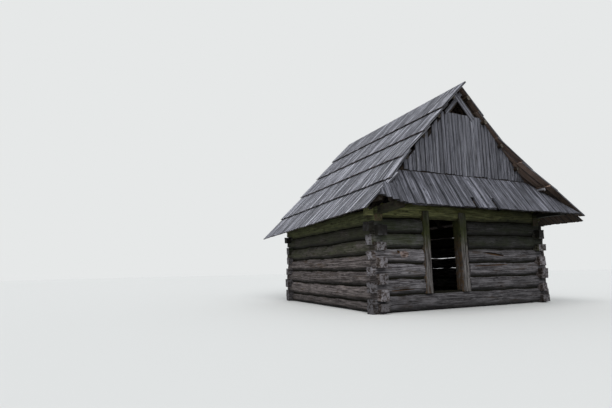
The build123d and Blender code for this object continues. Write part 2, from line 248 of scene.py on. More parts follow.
def draw_out_end(outward, across, bottom, top, length):
    """Draws the log's end in or out to a squared section, pulls that section out and returns
    how far out it ends."""
    shape = bmesh.from_edit_mesh(bpy.context.edit_object.data)
    end_x = outward * max(outward * vertex.co.x for vertex in shape.verts)
    heights = [vertex.co.z for vertex in shape.verts if abs(vertex.co.x - end_x) < near]
    old_height, old_middle = max(heights) - min(heights), (max(heights) + min(heights)) / 2
    pick("FACE", lambda face: all(abs(vertex.co.x - end_x) < near for vertex in face.verts))
    shoulder = outward * shoulder_drop
    bpy.ops.mesh.extrude_region_move(TRANSFORM_OT_translate={"value": (shoulder, 0, 0)})
    section_x = end_x + shoulder
    bpy.ops.transform.resize(
        value=(1, 1, (top - bottom) / old_height), center_override=(section_x, 0, old_middle)
    )
    bpy.ops.transform.translate(value=(0, 0, (bottom + top) / 2 - old_middle))
    shape = bmesh.from_edit_mesh(bpy.context.edit_object.data)
    section = [vertex.co.copy() for vertex in shape.verts if abs(vertex.co.x - section_x) < near]
    for row in sorted({round(corner.z, 4) for corner in section}):
        widths = [2 * abs(corner.y) for corner in section if abs(corner.z - row) < 2 * near]
        pick(
            "VERT",
            lambda vertex: abs(vertex.co.x - section_x) < near
            and abs(vertex.co.z - row) < 2 * near,
        )
        bpy.ops.transform.resize(
            value=(1, across / max(widths), 1), center_override=(section_x, 0, row)
        )
    pick("FACE", lambda face: all(abs(vertex.co.x - section_x) < near for vertex in face.verts))
    bpy.ops.mesh.extrude_region_move(TRANSFORM_OT_translate={"value": (outward * length, 0, 0)})
    return section_x + outward * length


def weather(piece, waves, way="NORMAL"):
    """Waves and dents of hewn, weathered timber: (size, depth) pairs, coarse to fine."""
    for size, depth in waves:
        dents = bpy.data.textures.new("hewn timber", "CLOUDS")
        dents.noise_scale = size
        dents.noise_depth = 1
        modifier = piece.modifiers.new("hewn", "DISPLACE")
        modifier.texture = dents
        modifier.texture_coords = "GLOBAL"
        modifier.direction = way
        modifier.strength = depth
        modifier.mid_level = 0.5
        bpy.ops.object.modifier_apply(modifier=modifier.name)


def round_edges(piece, width, angle):
    """Rounds a piece's worn edges, those that turn by more than that many degrees."""
    rounding = piece.modifiers.new("worn edges", "BEVEL")
    rounding.width = width
    rounding.segments = 2
    rounding.limit_method = "ANGLE"
    rounding.angle_limit = math.radians(angle)
    bpy.ops.object.modifier_apply(modifier=rounding.name)


def set_tone(mesh, tone):
    """Gives every face of a mesh its piece's own tone, from 0, dark, to 1, pale."""
    layer = mesh.attributes.get("tone") or mesh.attributes.new("tone", "FLOAT", "FACE")
    layer.data.foreach_set("value", [tone] * len(mesh.polygons))


def hewn_log(node, along, ends, neck, chance, foot=0.004, crown=0.008, tone=None):
    """A log in a node's place. Each end is how far a plain butt stands back, or a head's reach,
    bottom and top. The neck is the two heights between which it passes the corner. foot and crown
    are how far the log stays inside the node's underside and top."""
    lowest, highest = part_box(node)
    way = "xy".index(along)
    start, end = lowest[way], highest[way]
    middle = (lowest[1 - way] + highest[1 - way]) / 2
    shoulders = []
    for outward, place, head in ((-1, start, ends[0]), (1, end, ends[1])):
        back = head if isinstance(head, float) else head[0] + log_thickness
        shoulders.append(place - outward * back)
    bottom, top = lowest[2] + foot, highest[2] - crown
    half = log_thickness / 2
    piece = start_block(
        node.replace("_", " ").title().replace(" ", "_"),
        (shoulders[0], -half, bottom),
        (shoulders[1], half, top),
    )
    # Bellied sides: each row of points is drawn in, most at the bearing faces
    pick("EDGE", lambda edge: runs(edge, 2) > 0.05)
    bpy.ops.mesh.subdivide(number_cuts=belly_rows - 1)
    for row in range(belly_rows + 1):
        share = 2 * row / belly_rows - 1
        height = bottom + (top - bottom) * row / belly_rows
        pick("VERT", lambda vertex: abs(vertex.co.z - height) < near)
        bpy.ops.transform.resize(
            value=(1, 1 - log_belly * abs(share) ** 3, 1), center_override=(0, 0, height)
        )
    pick("EDGE", lambda edge: runs(edge, 0) > 0.1)
    bpy.ops.mesh.subdivide(number_cuts=int((shoulders[1] - shoulders[0]) / station))
    for outward, head in ((-1, ends[0]), (1, ends[1])):
        if isinstance(head, tuple):
            reach, head_bottom, head_top = head
            draw_out_end(outward, log_thickness * neck_share, *neck, log_thickness + neck_slack)
            slack = chance.uniform(-head_wander, head_wander)
            end_x = draw_out_end(
                outward,
                log_thickness * chance.uniform(*head_shares),
                head_bottom + slack + chance.uniform(*head_trim),
                head_top + slack - chance.uniform(*head_trim),
                reach + chance.uniform(*head_spread),
            )
            slant = random.Random(f"{node} {outward}")
            for axis, most in head_slants:
                bpy.ops.transform.rotate(
                    value=slant.uniform(-most, most),
                    orient_axis=axis,
                    center_override=(end_x, 0, (head_bottom + head_top) / 2),
                )
    bpy.ops.object.mode_set(mode="OBJECT")
    if along == "y":
        piece.rotation_euler.z = math.pi / 2
    piece.location[1 - way] = middle + chance.uniform(-log_wander, log_wander)
    bpy.ops.object.transform_apply(location=True, rotation=True, scale=True)
    round_edges(piece, width=0.009, angle=55)
    finer = piece.modifiers.new("finer", "SUBSURF")
    finer.subdivision_type = "SIMPLE"
    finer.levels = finer.render_levels = 1
    bpy.ops.object.modifier_apply(modifier=finer.name)
    weather(piece, ((0.75, 0.05),), "Z")
    weather(piece, ((0.4, 0.016), (0.12, 0.012), (0.05, 0.008)))
    bpy.ops.object.shade_smooth_by_angle(angle=smooth_angle)
    set_tone(piece.data, chance.random() if tone is None else tone)
    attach(piece, "root")
    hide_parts(node)
    return piece


def aged_wood(
    name,
    palette,
    strand,
    turn=None,
    streak=None,
    height_band=None,
    ends=None,
    heads=None,
    crack=0.3,
    edge=0.4,
    fade=None,
    tones=(0.78, 1.18),
):
    """Bare timber turned grey by rain and sun: strands along the grain, open checks, knots, stains
    and mottling, and painted shade where it looks down.
    palette is the colours of its pale and dark strands, its stains, and of the faces that look
    down: painted shade, and on boards their own brown undersides as well.
    strand is how long and how wide its strands are.
    turn lays the grain. Without it these are boards, which carry their own grain. Their upper ends
    are bare brown wood with painted shade, their long edges carry painted shade of the joints, and
    their lower ends, end grain wet from rain, carry painted shade of the lap and are nearly black.
    streak is a paler colour in streaks.
    The height band is a colour and the heights between which it comes on, on boards only where
    they look down: algae on logs, plates and posts, and painted shade on the roof boards' eaves.
    ends is the axis and colour of sawn ends that no rot has browned.
    heads is the axis, middle, half length and rotten colour of logs whose heads stand out past the
    crossings, where painted shade blackens the upper ones.
    crack is how dark checks are, and edge how dark the painted shade of the joints makes a board's
    long edges.
    fade is the places along X between which painted shade darkens it, and to what share.
    tones are the least and most by which a piece's own tone multiplies its colour."""
    pale, dark, stain, underside_and_shade = palette
    finish = bpy.data.materials.new(name)
    finish.use_nodes = True
    tree = finish.node_tree
    place = add_node(tree, "ShaderNodeTexCoord", {})
    facing = add_node(tree, "ShaderNodeSeparateXYZ", {}, {0: (place, "Normal")})
    height = add_node(tree, "ShaderNodeSeparateXYZ", {}, {0: (place, "Object")})
    tone = add_node(tree, "ShaderNodeAttribute", {"attribute_name": "tone"})
    own_grain = add_node(tree, "ShaderNodeAttribute", {"attribute_name": "grain"})
    # A piece's tone also shifts its patterns, so that no two pieces are alike
    apart = add_node(
        tree,
        "ShaderNodeVectorMath",
        {"operation": "MULTIPLY", 1: (31.3, 17.1, 27.9)},
        {0: (tone, "Color")},
    )
    moved = add_node(
        tree,
        "ShaderNodeVectorMath",
        {"operation": "ADD"},
        {0: (own_grain, "Vector") if turn is None else (place, "Object"), 1: (apart, 0)},
    )
    # Each pattern's size along and across the grain, detail and distortion. The knots need neither:
    # they are cells about 30 mm across, drawn out along the grain, one or two in a metre.
    long, wide = strand
    patterns = {}
    for key, size, detail, distortion in (
        ("strands", (long, wide, wide), 5, 0.3),
        ("streaks", (long * 1.8, wide * 2.6, wide * 2.6), 3, 0.2),
        ("patches", (long * 0.9, wide * 6, wide * 6), 3, 0),
        ("checks", (long * 1.7, wide * 1.7, wide * 1.7), 2, 0.5),
        ("blotches", (0.4, 0.25, 0.25), 3, 0),
        ("mottle", (long * 0.35, wide * 5, wide * 5), 3, 0),
        ("rot", (0.08, 0.055, 0.055), 3, 0.4),
        ("knots", (0.3, 0.13, 0.13), 0, 0),
    ):
        laid = add_node(
            tree,
            "ShaderNodeMapping",
            {"vector_type": "TEXTURE", "Rotation": turn or (0, 0, 0), "Scale": size},
            {"Vector": (moved, 0)},
        )
        if key == "knots":
            kind, settings = "ShaderNodeTexVoronoi", {"Scale": 1}
        else:
            kind = "ShaderNodeTexNoise"
            settings = {"Scale": 1, "Detail": detail, "Distortion": distortion, "Roughness": 0.62}
        patterns[key] = add_node(tree, kind, settings, {"Vector": (laid, 0)})
    # A check is an open crack, where its noise crosses the middle value
    off_middle = add_node(
        tree, "ShaderNodeMath", {"operation": "SUBTRACT", 1: 0.5}, {0: (patterns["checks"], "Fac")}
    )
    across_check = add_node(tree, "ShaderNodeMath", {"operation": "ABSOLUTE"}, {0: (off_middle, 0)})
    # Masks: a name, a source and its output, the values between which it comes on, least and most
    ranges = [
        ("strands", patterns["strands"], "Fac", 0.41, 0.61, 0, 1),
        ("streaks", patterns["streaks"], "Fac", 0.53, 0.62, 0, 0.9),
        ("patches", patterns["patches"], "Fac", 0.56, 0.74, 0, 0.75),
        ("blotches", patterns["blotches"], "Fac", 0.3, 0.6, 0.25, 1),
        ("mottle", patterns["mottle"], "Fac", 0.32, 0.68, 0.8, 1.22),
        ("rot", patterns["rot"], "Fac", 0.47, 0.56, 0, 0.9),
        ("sound", patterns["rot"], "Fac", 0.47, 0.56, 1, 0.15),
        ("check", across_check, 0, 0.002, 0.014, crack, 1),
        ("knots", patterns["knots"], "Distance", 0.08, 0.17, 0.35, 1),
        # Faces that look down: painted shade, and on boards their own brown undersides too
        ("under", facing, "Z", -0.25, -0.65, 0, 0.85),
        ("tone", tone, "Fac", 0, 1, *tones),
    ]
    products = []  # masks made of two others
    colours = {"streaks": streak, "patches": stain, "under": underside_and_shade}
    if turn is None:
        order = ("streaks", "patches", "upper_end", "under", "height_band", "lower_end")
        # The upper ends take the underside colour: bare brown wood with painted shade under the
        # course above
        colours["upper_end"] = underside_and_shade
        # The lower ends are end grain, which soaks up rain, with painted shade of the lap: nearly
        # black
        colours["lower_end"] = "#1b1b1e"
        grain_place = add_node(tree, "ShaderNodeSeparateXYZ", {}, {0: (own_grain, "Vector")})
        off_centre = add_node(
            tree, "ShaderNodeMath", {"operation": "ABSOLUTE"}, {0: (grain_place, "Y")}
        )
        end_start, end_full = board_length - 0.012, board_length - 0.008
        ranges += [
            ("upper_end", grain_place, "X", 0.002, 0, 0, 0.9),
            ("past_end", grain_place, "X", end_start, end_full, 0, 0.9),
            # Painted shade of the joints between the boards darkens their long edges
            ("edge", off_centre, 0, board_width * 0.32, board_width * 0.5, 1, edge),
        ]
        products.append(("lower_end", "under", "past_end"))
    elif heads:
        order = ("streaks", "patches", "height_band", "heads", "ends", "painted_eave_shade", "under")
        axis, middle, half_length, colours["heads"] = heads
        # Painted shade, nearly black, on the heads under the eaves
        colours["painted_eave_shade"] = "#1c1b15"
        from_middle = add_node(
            tree, "ShaderNodeMath", {"operation": "SUBTRACT", 1: middle}, {0: (height, axis)}
        )
        distance = add_node(
            tree, "ShaderNodeMath", {"operation": "ABSOLUTE"}, {0: (from_middle, 0)}
        )
        ranges += [
            ("past", distance, 0, half_length - 0.02, half_length + 0.02, 0, 1),
            ("under_eaves", height, "Z", eave_shade_start, eave_shade_full, 0, 0.85),
        ]
        # Rot has browned the heads in patches, and under the eaves painted shade makes them nearly
        # black
        products += [("heads", "past", "rot"), ("painted_eave_shade", "past", "under_eaves")]
    else:
        order = ("streaks", "patches", "ends", "height_band", "under")
    if ends:
        axis, colours["ends"] = ends
        outward = add_node(tree, "ShaderNodeMath", {"operation": "ABSOLUTE"}, {0: (facing, axis)})
        ranges.append(("sawn", outward, 0, 0.8, 0.95, 0, 0.85))
        products.append(("ends", "sawn", "sound"))
    # Algae on logs, plates and posts; on boards, painted shade on the faces that look down
    if height_band:
        colours["height_band"], band_start, band_full = height_band
        ranges.append(("in_height_band", height, "Z", band_start, band_full, 0, 0.85))
        products.append(("height_band", "in_height_band", "blotches" if turn else "under"))
    # Painted shade, darker along X
    if fade:
        fade_start, fade_full, fade_share = fade
        ranges.append(("fade", height, "X", fade_start, fade_full, 1, fade_share))
    masks = {}
    for key, source, output, low, high, least, most in ranges:
        masks[key] = add_node(
            tree, "ShaderNodeMapRange", {1: low, 2: high, 3: least, 4: most}, {0: (source, output)}
        )
    for key, first, second in products:
        masks[key] = add_node(
            tree,
            "ShaderNodeMath",
            {"operation": "MULTIPLY"},
            {0: (masks[first], 0), 1: (masks[second], 0)},
        )
    # The colours lie over one another in that order, and the shade multiplies the lot
    colour = add_node(
        tree,
        "ShaderNodeMix",
        {"data_type": "RGBA", 6: linear(dark), 7: linear(pale)},
        {0: (masks["strands"], 0)},
    )
    for key in order:
        if colours.get(key):
            colour = add_node(
                tree,
                "ShaderNodeMix",
                {"data_type": "RGBA", 7: linear(colours[key])},
                {0: (masks[key], 0), 6: (colour, 2)},
            )
    shade = masks["tone"]
    for key in ("check", "mottle", "knots", "edge", "fade"):
        if key in masks:
            shade = add_node(
                tree,
                "ShaderNodeMath",
                {"operation": "MULTIPLY"},
                {0: (shade, 0), 1: (masks[key], 0)},
            )
    shaded = add_node(
        tree, "ShaderNodeVectorMath", {"operation": "SCALE"}, {0: (colour, 2), "Scale": (shade, 0)}
    )
    relief = add_node(
        tree,
        "ShaderNodeMath",
        {"operation": "MULTIPLY"},
        {0: (patterns["strands"], "Fac"), 1: (masks["check"], 0)},
    )
    bump = add_node(
        tree, "ShaderNodeBump", {"Strength": 0.7, "Distance": 0.012}, {"Height": (relief, 0)}
    )
    shader = tree.nodes["Principled BSDF"]
    shader.inputs["Roughness"].default_value = 0.85
    shader.inputs["Specular IOR Level"].default_value = 0.25
    tree.links.new(shaded.outputs[0], shader.inputs["Base Color"])
    tree.links.new(bump.outputs[0], shader.inputs["Normal"])
    return finish


grain_x = (0, 0, 0)
grain_y = (0, 0, math.pi / 2)
grain_z = (0, math.pi / 2, 0)
# Strands are 2 or 3 mm in the timber. They are drawn 18 mm wide, which still shows in the picture.
log_strand = (0.5, 0.018)
# Painted shade, nearly black, on the logs' faces that look down
shade_under_logs = "#12110d"
rotten_brown = "#33271e"
sawn_grey = "#8d8a8f"
front_timber = aged_wood(
    "weathered hewn spruce, front and back walls",
    ("#949195", "#423f41", "#4e4034", shade_under_logs),
    log_strand,
    grain_x,
    height_band=("#424a31", 1.1, 1.22),
    heads=("X", 0, -wall_side, rotten_brown),
    ends=("X", sawn_grey),
    tones=(0.3, 1.3),
)
side_timber = aged_wood(
    "weathered hewn spruce, side walls",
    ("#958c8a", "#463f3e", "#54422f", shade_under_logs),
    log_strand,
    grain_y,
    height_band=("#54583f", 0.98, 1.12),
    heads=("Y", wall_middle, half_wall, rotten_brown),
    ends=("Y", sawn_grey),
    tones=(0.35, 1.25),
)
chance = random.Random(7)
full_courses = 5
# The logs' tones from the lowest course up: partly weathering, partly painted shade, which makes
# the logs right of the doorway darkest
log_tones_and_shade = {
    "front_left_log": (0.32, 0.58, 0.86, 0.6, 0.5),
    "front_right_log": (0.17, 0.36, 0.3, 0.0, 0.04),
    "back_log": (0.3, 0.6, 0.8, 0.5, 0.4),
    "left_log": (0.5, 0.35, 0.6, 0.4, 0.1),
    "right_log": (0.45, 0.3, 0.6, 0.5, 0.2),
}
wall_necks = {"x": (-0.058, 0.087), "y": (-0.079, 0.065)}  # from the middle of a log
log_crown, log_foot, right_log_foot = 0.012, 0.008, 0.004
butt_gap = 0.07  # between the right door post and the logs beside it
# The crowns of the right-hand logs that have an open joint above, where daylight shows
open_joints = {"right_log_2": -0.002, "right_log_3": -0.001, "right_log_5": 0.008}
for number in range(1, full_courses + 1):
    for row, along, butts in (
        ("front_left_log", "x", (None, 0.0)),
        ("front_right_log", "x", (butt_gap, None)),
        ("back_log", "x", (None, None)),
        ("left_log", "y", (None, None)),
        ("right_log", "y", (None, None)),
    ):
        node = f"{row}_{number}"
        lowest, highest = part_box(node)
        middle = (lowest[2] + highest[2]) / 2
        head = (head_reach, middle - head_height / 2, middle + head_height / 2)
        log = hewn_log(
            node,
            along,
            [head if butt is None else butt for butt in butts],
            [middle + offset for offset in wall_necks[along]],
            chance,
            crown=open_joints.get(node, log_crown),
            foot=right_log_foot if row == "right_log" else log_foot,
            tone=log_tones_and_shade[row][number - 1],
        )
        log.data.materials.append(front_timber if along == "x" else side_timber)

# Knot hole, gashes and a crack in the front logs
# Rot and frost have opened the weathered spruce down to torn brown wood: a bare patch with a knot
# hole and a crack left of the doorway, and two long gashes right of it. Lenses cut them out.
torn_wood = aged_wood(
    "torn brown spruce", ("#7d5f3f", "#33231a", "#261b13", "#1a130d"), log_strand, grain_x
)
bare_wood = aged_wood(
    "torn grey-brown spruce", ("#998a86", "#4a3a33", "#58443a", "#1a130d"), (0.1, 0.03), grain_x
)
torn_tone = 0.6
# Each cut's log, finish, middle along and up the wall, size, and slant
for node, finish, place, size, slant in (
    ("front_left_log_3", bare_wood, (-1.57, 1.06), (0.21, 0.03, 0.17), 0),
    ("front_left_log_3", torn_wood, (-1.69, 1.09), (0.06, 0.12, 0.06), 0),
    ("front_left_log_1", torn_wood, (-1.62, 0.4), (0.56, 0.1, 0.026), -0.03),
    ("front_right_log_3", torn_wood, (0.74, 1.04), (0.56, 0.09, 0.05), 0.12),
    ("front_right_log_2", torn_wood, (0.65, 0.815), (1.0, 0.08, 0.03), -0.02),
):
    log = bpy.data.objects[node.title()]
    bpy.ops.object.select_all(action="DESELECT")
    bpy.ops.mesh.primitive_uv_sphere_add(segments=24, ring_count=12, radius=0.5)
    lens = bpy.context.object
    lens.scale = size
    lens.rotation_euler.y = slant
    lens.location = (place[0], wall_face, place[1])
    bpy.ops.object.transform_apply(location=True, rotation=True, scale=True)
    set_tone(lens.data, torn_tone)
    lens.data.materials.append(finish)
    bpy.context.view_layer.objects.active = log
    opened = log.modifiers.new("opened", "BOOLEAN")
    opened.object = lens
    opened.solver = "MANIFOLD"
    opened.material_mode = "TRANSFER"
    bpy.ops.object.modifier_apply(modifier=opened.name)
    bpy.data.objects.remove(lens)

# Sills and ground logs
# The spruce sills lie across under the front and back walls, broad and barely shaped. The thinner
# ground logs lie under the side walls and are notched into the sills from below.
sill_neck = (0.098, 0.261)
ground_log_neck = (0.002, 0.102)
sill_foot = 0.016  # left above the level, because weathering makes the undersides sag
sill_head_foot, sill_head_crown = 0.01, 0.015
sill_tone = 0.1
for node, along, neck in (
    ("front_sill", "x", sill_neck),
    ("back_sill", "x", sill_neck),
    ("left_ground_log", "y", ground_log_neck),
    ("right_ground_log", "y", ground_log_neck),
):
    head = (head_reach, sill_head_foot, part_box(node)[1][2] - sill_head_crown)
    log = hewn_log(node, along, (head, head), neck, chance, foot=sill_foot, tone=sill_tone)
    log.data.materials.append(front_timber if along == "x" else side_timber)

# Plates
# The top logs of the walls, of the same hewn spruce and green with algae under the eaves. The side
# plates run on forwards as tongues that carry the skirt roof; the front and back plates are
# notched over them and lock the corners from above.
# The plates' colours are painted paler than the algae-green wood, as painted light under the eaves,
# and their fade is painted shade, darker towards the right
plate_timber = aged_wood(
    "hewn spruce green with algae, plates across",
    ("#aeb07c", "#55583c", "#7a6a3c", "#3a3b24"),
    log_strand,
    grain_x,
    height_band=("#7a8046", 1.65, 2.2),
    fade=(-1.2, 1.4, 0.25),
)
# The fade is painted shade, which darkens the right-hand plate; painted shade also blackens the
# tongues and heads under the eaves
side_plate_timber = aged_wood(
    "hewn spruce green with algae, plates along",
    ("#6e724d", "#41452f", "#55503a", "#2c2d1c"),
    log_strand,
    grain_y,
    heads=("Y", wall_middle, half_wall + head_reach, "#3f2e20"),
    ends=("Y", "#6b5a4a"),
    fade=(-2, 2, 0.4),
)
side_plate_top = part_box("left_plate")[1][2]
front_plate_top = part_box("front_plate")[1][2]
tongue_reach = wall_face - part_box("left_plate")[0][1]
tongue_height = 0.11
plate_head = (head_reach, 1.748, 1.963)  # its top lies under the eave's pole
seat_depth = 0.004  # by which the plates across sink into those along
side_neck_foot, side_head_foot, side_head_crown = 0.059, 0.05, 0.02
for node in ("front_plate", "back_plate"):
    neck = (side_plate_top - seat_depth, front_plate_top - seat_depth)
    plate = hewn_log(node, "x", (plate_head, plate_head), neck, chance)
    plate.data.materials.append(plate_timber)
for node in ("left_plate", "right_plate"):
    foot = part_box(node)[0][2]
    tongue = (tongue_reach, side_plate_top - tongue_height, side_plate_top)
    head = (head_reach, foot + side_head_foot, side_plate_top - side_head_crown)
    neck = (foot + side_neck_foot, side_plate_top)
    plate = hewn_log(node, "y", (tongue, head), neck, chance)
    plate.data.materials.append(side_plate_timber)

# Moss in the joints
# The logs are laid on dried moss and slivers, pressed back from both faces, dull and coloured
# near black as painted shade in the joints between the silvery logs. On the right-hand wall it has
# fallen out of the three open joints.
joint_filling = bpy.data.materials.new("dried moss darkened with painted shade")
joint_filling.use_nodes = True
moss_tree = joint_filling.node_tree
moss_place = add_node(moss_tree, "ShaderNodeTexCoord", {})
moss_tufts = add_node(
    moss_tree, "ShaderNodeTexNoise", {"Scale": 40, "Detail": 3}, {"Vector": (moss_place, "Object")}
)
# Near black: the moss's colour darkened as painted shade in the joints
moss_and_shade_colour = add_node(
    moss_tree,
    "ShaderNodeMix",
    {"data_type": "RGBA", 6: linear("#0d0c09"), 7: linear("#1d1d13")},
    {0: (moss_tufts, "Fac")},
)
moss_shader = moss_tree.nodes["Principled BSDF"]
moss_shader.inputs["Roughness"].default_value = 1
moss_shader.inputs["Specular IOR Level"].default_value = 0.1
moss_tree.links.new(moss_and_shade_colour.outputs[2], moss_shader.inputs["Base Color"])


def join_pieces(pieces, name, finish):
    """Joins pieces to one of that name and finish."""
    bpy.ops.object.select_all(action="DESELECT")
    for piece in pieces:
        piece.select_set(True)
    bpy.context.view_layer.objects.active = pieces[0]
    bpy.ops.object.join()
    joined = bpy.context.object
    joined.name = name
    joined.data.materials.clear()
    joined.data.materials.append(finish)
    return joined


moss_half_depth = 0.04
moss_below, moss_above = 0.038, 0.036  # how far it reaches from the joint, behind the bellies
moss_end_gap, moss_door_gap = 0.12, 0.01  # at the corners and beside the doorway
packed_joints = []
for node in sorted(frame["nodes"]):
    if ("log" in node or "sill" in node) and node not in open_joints:
        lowest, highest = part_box(node)
        way = 0 if node.startswith(("front", "back")) else 1
        middle = (lowest + highest) / 2
        first, last = middle.copy(), middle.copy()
        first[way], last[way] = lowest[way] + moss_end_gap, highest[way] - moss_end_gap
        if node.startswith("front_left"):
            last[way] = highest[way] - moss_door_gap
        if node.startswith("front_right"):
            first[way] = lowest[way] + moss_door_gap
        first[1 - way] -= moss_half_depth
        last[1 - way] += moss_half_depth
        first[2], last[2] = highest[2] - moss_below, highest[2] + moss_above
        strip = start_block("moss", first, last)
        bpy.ops.mesh.subdivide(number_cuts=6)
        bpy.ops.object.mode_set(mode="OBJECT")
        packed_joints.append(strip)
moss = join_pieces(packed_joints, "Moss_in_the_joints", joint_filling)
weather(moss, ((0.12, 0.02),))
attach(moss, "root")

# Door posts
# Two hewn spruce posts stand on the sill, close the ends of the cut logs and lap up over the front
# plate. Rain has greyed and cracked their faces; the doorway's cheeks are still brown.
post_timber = aged_wood(
    "weathered hewn spruce, door posts",
    ("#8f8b89", "#3b3735", "#513b28", "#2c2820"),
    (0.45, 0.018),
    grain_z,
    height_band=("#545c33", 1.05, 1.45),
    ends=("X", "#7a6248"),
    crack=0.1,
    tones=(0.5, 1.1),
)
post_lap_depth = 0.06
lap_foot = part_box("front_plate")[0][2] - 0.001
# The right post was left wider, on the side that covers the log ends
for node, flare, post_tone in (("left_door_post", 0, 0.36), ("right_door_post", 0.025, 0.25)):
    lowest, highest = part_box(node)
    highest.x += flare
    post = start_block(node.title(), lowest, (highest.x, highest.y, lap_foot))
    lap_back = lowest.y + post_lap_depth
    bpy.ops.mesh.select_all(action="SELECT")
    bpy.ops.mesh.bisect(plane_co=(0, lap_back, 0), plane_no=(0, 1, 0))
    pick("FACE", lambda face: face.normal.z > 0.9 and face.calc_center_median().y < lap_back)
    lap_height = highest.z - lap_foot
    bpy.ops.mesh.extrude_region_move(TRANSFORM_OT_translate={"value": (0, 0, lap_height)})
    pick("EDGE", lambda edge: runs(edge, 2) > 0.1)
    bpy.ops.mesh.subdivide(number_cuts=14)
    bpy.ops.object.mode_set(mode="OBJECT")
    round_edges(post, width=0.012, angle=48)
    weather(post, ((0.5, 0.018), (0.12, 0.006)))
    bpy.ops.object.shade_smooth_by_angle(angle=smooth_angle)
    set_tone(post.data, post_tone)
    post.data.materials.append(post_timber)
    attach(post, "root")
    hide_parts(node)

# Roof frame
# Rafters of squared spruce, round peeled laths over them, tie beams, and the skirt roof's poles.
# Under the boards they have stayed brown; the laths' sawn ends in the gable are greyer.
pole_strand = (0.5, 0.02)
aged_pole = aged_wood(
    "aged brown spruce poles",
    ("#5a4a38", "#33281d", "#2a2018", "#2e241a"),
    pole_strand,
    grain_y,
    ends=("Y", "#87837b"),
    height_band=("#2a2018", 3.7, 3.5),
)
aged_rafter = aged_wood(
    "aged brown spruce rafters", ("#372d22", "#1f1812", "#1c1510", "#1e1711"), pole_strand, grain_x
)
mossy_pole = aged_wood(
    "mossy brown spruce poles under the skirt roof",
    ("#6d5f44", "#3a2f20", "#2c2118", "#2a231a"),
    (0.4, 0.02),
    grain_x,
)
for node, finish in (
    ("left_rafters", aged_rafter),
    ("right_rafters", aged_rafter),
    ("tie_beams", aged_rafter),
    ("hip_rafters", mossy_pole),
    ("skirt_poles", aged_rafter),
    ("left_laths", aged_pole),
    ("right_laths", aged_pole),
):
    frame["nodes"][node].data.materials.clear()
    frame["nodes"][node].data.materials.append(finish)

# Roof boards
# Each slope has five courses of split spruce boards nailed to the laths, two thick with the joints
# broken, each course lapped over the one below. Bare and silver-grey on the weather side, brown
# underneath. Towards the front the boards fan out along the flared verge.
pitch = math.radians(47.5)
run, rise, steep = math.cos(pitch), math.sin(pitch), math.tan(pitch)
rafter_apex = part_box("right_rafters")[1][2]
lath_thickness = 0.08
lath_apex = rafter_apex + lath_thickness / run
course_pitch = 0.72
course_depth = 0.036
lap_gap = 0.0003
course_lean = pitch - math.atan((course_depth + lap_gap) / course_pitch)
first_course_start = -0.055
back_verge = 0.35
verge_fan = 1.4  # how fast the boards turn square again behind the verge
roof_board_width, width_spread = 0.13, 0.35
board_gap = 0.004
sawn_spread = 0.012  # the boards' lower ends fall this far short or long
outermost_short = 0.12
edges_back = (0.850, 1.625, 2.400, 3.300, 4.030)
course_tones = (0.3, 0.5, 0.6, 0.6, 0.5)  # darker towards the ridge
tone_spread = 0.4
# Each slope's side, its gap at the ridge, where its courses end at the front, measured down the
# slope, and how far its verge stands out from the wall at each course's upper and lower edge
slopes = {
    "left": (
        -1,
        0.005,
        (0.850, 1.600, 2.310, 3.000, 3.750),
        ((0.295, 0.265), (0.245, 0.230), (0.230, 0.150), (0.200, 0.400), (0.430, 0.310)),
    ),
    "right": (
        1,
        0.058,
        (0.835, 1.620, 2.390, 3.010, 3.885),
        ((0.165, 0.165), (0.165, 0.190), (0.190, 0.400), (0.330, 0.610), (0.570, 0.820)),
    ),
}
board_thickness = 0.018
# Four board shapes, alike but for the ragged lower end
board_shapes = []
for number in range(4):
    board = start_block(
        "board",
        (0, -board_width / 2, 0),
        (board_length, board_width / 2, board_thickness),
    )
    pick("EDGE", lambda edge: runs(edge, 0) > 0.1)
    bpy.ops.mesh.bevel(offset=0.003, segments=1, affect="EDGES")
    for cut in (-0.25, 0, 0.25):
        bpy.ops.mesh.select_all(action="SELECT")
        bpy.ops.mesh.bisect(plane_co=(0, cut * board_width, 0), plane_no=(0, 1, 0))
    pick("EDGE", lambda edge: runs(edge, 0) > 0.1)
    bpy.ops.mesh.subdivide(number_cuts=3)
    bpy.ops.object.mode_set(mode="OBJECT")
    grain = board.data.attributes.new("grain", "FLOAT_VECTOR", "POINT")
    for vertex, value in zip(board.data.vertices, grain.data):
        value.vector = vertex.co
    bpy.ops.object.mode_set(mode="EDIT")
    pick("VERT", lambda vertex: abs(vertex.co.x - board_length) < near)
    bpy.ops.transform.vertex_random(offset=0.008, seed=number)
    bpy.ops.object.mode_set(mode="OBJECT")
    board_shapes.append(board.data)
    bpy.data.objects.remove(board)


def lay_board(boards, start, along, across, out, length, width, chance, thickness):
    """Adds a copy of one of the four shapes to the boards, with a tone of its own. It starts at the
    middle of its upper end."""
    shape = chance.choice(board_shapes).copy()
    columns = (
        along * (length / board_length),
        across * (width / board_width),
        out * (thickness / board_thickness),
    )
    place = Matrix.Translation(start) @ Matrix(columns).transposed().to_4x4()
    shape.transform(place)
    set_tone(shape, chance.random())
    board = bpy.data.objects.new("board", shape)
    bpy.context.collection.objects.link(board)
    boards.append(board)
    return board


# Grain in split boards is about 2 mm wide and is drawn 13 mm wide, so that it shows
board_strand = (0.55, 0.013)
# Its height band is painted shade, dark brown on the faces that look down near the eaves, and its
# long edges carry painted shade of the joints
silver_board = aged_wood(
    "silver-grey split spruce, roof boards",
    ("#8f9099", "#2c2d32", "#3e3e44", "#8f7869"),
    board_strand,
    streak="#d2d3dc",
    height_band=("#2b261d", 2.75, 2.3),
    tones=(0.55, 1.4),
)


def shares(length, mean, spread, chance):
    """Where the joints fall along a row of boards of that mean width, from 0 to 1."""
    widths = [mean * chance.uniform(1 - spread, 1 + spread) for _ in range(round(length / mean))]
    places = [0]
    for width in widths:
        places.append(places[-1] + width / sum(widths))
    return places


